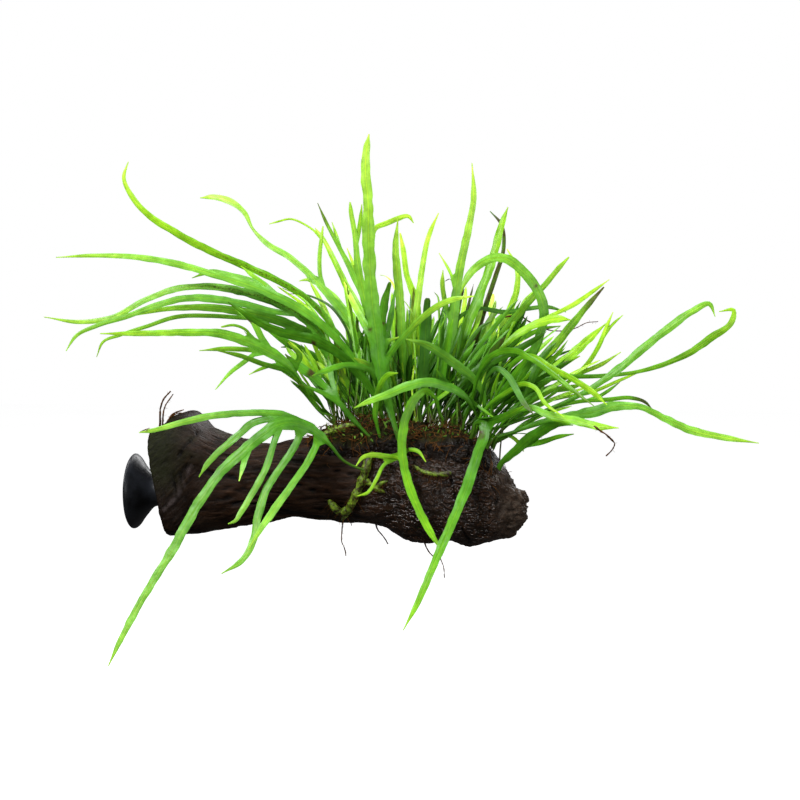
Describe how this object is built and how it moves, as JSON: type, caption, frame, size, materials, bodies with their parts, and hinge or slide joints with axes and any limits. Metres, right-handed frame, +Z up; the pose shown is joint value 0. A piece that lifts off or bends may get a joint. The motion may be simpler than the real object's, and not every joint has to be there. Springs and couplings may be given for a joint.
{
  "type": "aquarium plant on driftwood",
  "caption": "Narrow-leaved java fern with forked fronds, rooted on a dark driftwood log that a suction cup holds by its sawn end.",
  "frame": {"origin": "centre of the suction cup's rim, in the plane that meets the glass", "axes": "-X out of the cup into the glass, +X along the log to its broken end, +Z up, -Y towards the viewer of the picture"},
  "size_m": [0.3553, 0.205, 0.2526],
  "materials": {
    "leaf": "satin",
    "rhizome": "satin",
    "roots": "matte",
    "driftwood": "wet satin",
    "cup": "smooth"
  },
  "bodies": {
    "root": {"driftwood": "driftwood", "frond_arch_front": "leaf", "frond_arch_right": "leaf", "frond_back_blunt": "leaf", "frond_back_far_right": "leaf", "frond_back_hook": "leaf", "frond_back_right": "leaf", "frond_back_thin": "leaf", "frond_blunt_left": "leaf", "frond_blunt_right": "leaf", "frond_broad_dark": "leaf", "frond_broad_right": "leaf", "frond_brown_tip": "leaf", "frond_curl_middle": "leaf", "frond_dark_left": "leaf", "frond_dark_tip": "leaf", "frond_droop_middle": "leaf", "frond_droop_right": "leaf", "frond_far_left_lower": "leaf", "frond_far_left_middle": "leaf", "frond_far_left_top": "leaf", "frond_far_left_upper": "leaf", "frond_far_right_arm": "leaf", "frond_far_right_low": "leaf", "frond_far_right_top": "leaf", "frond_fork_right": "leaf", "frond_front_left": "leaf", "frond_hook_left": "leaf", "frond_level_dark": "leaf", "frond_level_front": "leaf", "frond_lime": "leaf", "frond_low_left": "leaf", "frond_low_right": "leaf", "frond_mid_left": "leaf", "frond_needle": "leaf", "frond_olive": "leaf", "frond_pale_arch": "leaf", "frond_rear_centre": "leaf", "frond_rear_far_right": "leaf", "frond_rear_left": "leaf", "frond_rear_low": "leaf", "frond_rear_right": "leaf", "frond_right_bright": "leaf", "frond_right_brown_tip": "leaf", "frond_right_forked": "leaf", "frond_right_pale": "leaf", "frond_right_thin": "leaf", "frond_rolled_brown": "leaf", "frond_short_dark": "leaf", "frond_sprout": "leaf", "frond_tall_centre": "leaf", "frond_tall_right": "leaf", "frond_twisted": "leaf", "frond_yellow_thin": "leaf", "rhizome_crest": "rhizome", "rhizome_front": "rhizome", "rhizome_right": "rhizome", "root_mat": "roots", "suction_cup": "cup"}
  },
  "joints": []
}
